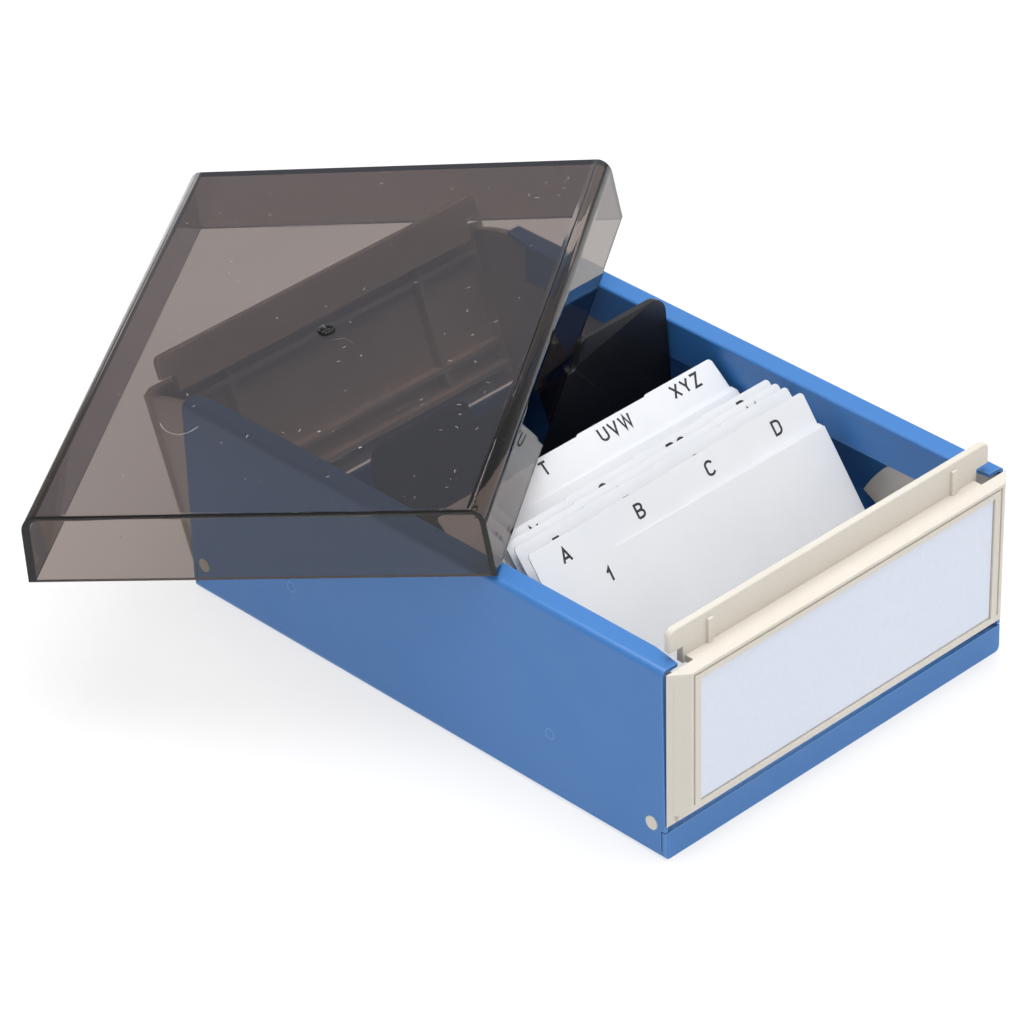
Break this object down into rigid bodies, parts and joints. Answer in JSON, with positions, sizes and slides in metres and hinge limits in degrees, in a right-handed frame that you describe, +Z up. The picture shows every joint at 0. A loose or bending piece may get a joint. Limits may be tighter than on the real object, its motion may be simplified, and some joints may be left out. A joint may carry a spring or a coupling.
{
  "type": "index card box",
  "caption": "Desktop index-card box: folded steel case, tilt-out end panels, sliding follower, lettered tab dividers and a loose smoke-transparent lid laid askew.",
  "frame": {"origin": "middle of the underside of the steel case, on the surface it stands on", "axes": "+Z up, X across the box, Y along it with the labelled front at -Y"},
  "size_m": [0.211, 0.2584, 0.0753],
  "materials": {
    "blue_paint": "semi-gloss blue paint on sheet steel",
    "cream_plastic": "fine matt cream moulding",
    "label_card": "pale blue-white card",
    "black_plastic": "satin black moulding",
    "white_sheet": "white satin plastic sheet",
    "smoke_plastic": "polished smoke-transparent moulding"
  },
  "bodies": {
    "case": {"body_shell": "blue_paint", "left_guide_rail": "blue_paint", "right_guide_rail": "blue_paint"},
    "front_panel": {"front_panel": "cream_plastic", "front_label": "label_card"},
    "rear_panel": {"rear_panel": "cream_plastic", "rear_label": "label_card"},
    "follower": {"follower_plate": "black_plastic"},
    "lid": {"lid": "smoke_plastic"},
    "row_a_d": {"divider_a": "white_sheet", "divider_b": "white_sheet", "divider_c": "white_sheet", "divider_d": "white_sheet"},
    "row_e_h": {"divider_e": "white_sheet", "divider_f": "white_sheet", "divider_g": "white_sheet", "divider_h": "white_sheet"},
    "row_i_m": {"divider_ij": "white_sheet", "divider_k": "white_sheet", "divider_l": "white_sheet", "divider_m": "white_sheet"},
    "row_n_r": {"divider_n": "white_sheet", "divider_o": "white_sheet", "divider_pq": "white_sheet", "divider_r": "white_sheet"},
    "row_s_z": {"divider_s": "white_sheet", "divider_t": "white_sheet", "divider_uvw": "white_sheet", "divider_xyz": "white_sheet"}
  },
  "joints": [
    {"name": "lid_lift", "type": "slide", "parent": "case", "child": "lid", "axis": [0, 0, 1], "range_m": [0, 0.12]},
    {"name": "front_panel_tilt", "type": "hinge", "parent": "case", "child": "front_panel", "pos_m": [0, -0.0815, 0.0094], "axis": [1, 0, 0], "range_deg": [-1, 24]},
    {"name": "rear_panel_tilt", "type": "hinge", "parent": "case", "child": "rear_panel", "pos_m": [0, 0.0815, 0.0094], "axis": [-1, 0, 0], "range_deg": [0, 1.2]},
    {"name": "follower_slide", "type": "slide", "parent": "case", "child": "follower", "axis": [0, -1, 0], "range_m": [0, 0.012]},
    {"name": "row_a_d_flip", "type": "hinge", "parent": "case", "child": "row_a_d", "pos_m": [0, -0.0722, 0.0013], "axis": [1, 0, 0], "range_deg": [0, 39]},
    {"name": "row_e_h_flip", "type": "hinge", "parent": "case", "child": "row_e_h", "pos_m": [0, -0.0682, 0.0013], "axis": [1, 0, 0], "range_deg": [0, 26.1]},
    {"name": "row_i_m_flip", "type": "hinge", "parent": "case", "child": "row_i_m", "pos_m": [0, -0.0652, 0.0013], "axis": [1, 0, 0], "range_deg": [0, 13.1]},
    {"name": "row_n_r_flip", "type": "hinge", "parent": "case", "child": "row_n_r", "pos_m": [0, -0.05974, 0.0013], "axis": [-1, 0, 0], "range_deg": [0, 5]},
    {"name": "row_s_z_flip", "type": "hinge", "parent": "case", "child": "row_s_z", "pos_m": [0, -0.0428, 0.0013], "axis": [1, 0, 0], "range_deg": [-3, 4]}
  ],
  "couplings": [
    {"joint": "row_e_h_flip", "follows": "row_a_d_flip", "ratio": 0.6667},
    {"joint": "row_i_m_flip", "follows": "row_a_d_flip", "ratio": 0.3333}
  ]
}
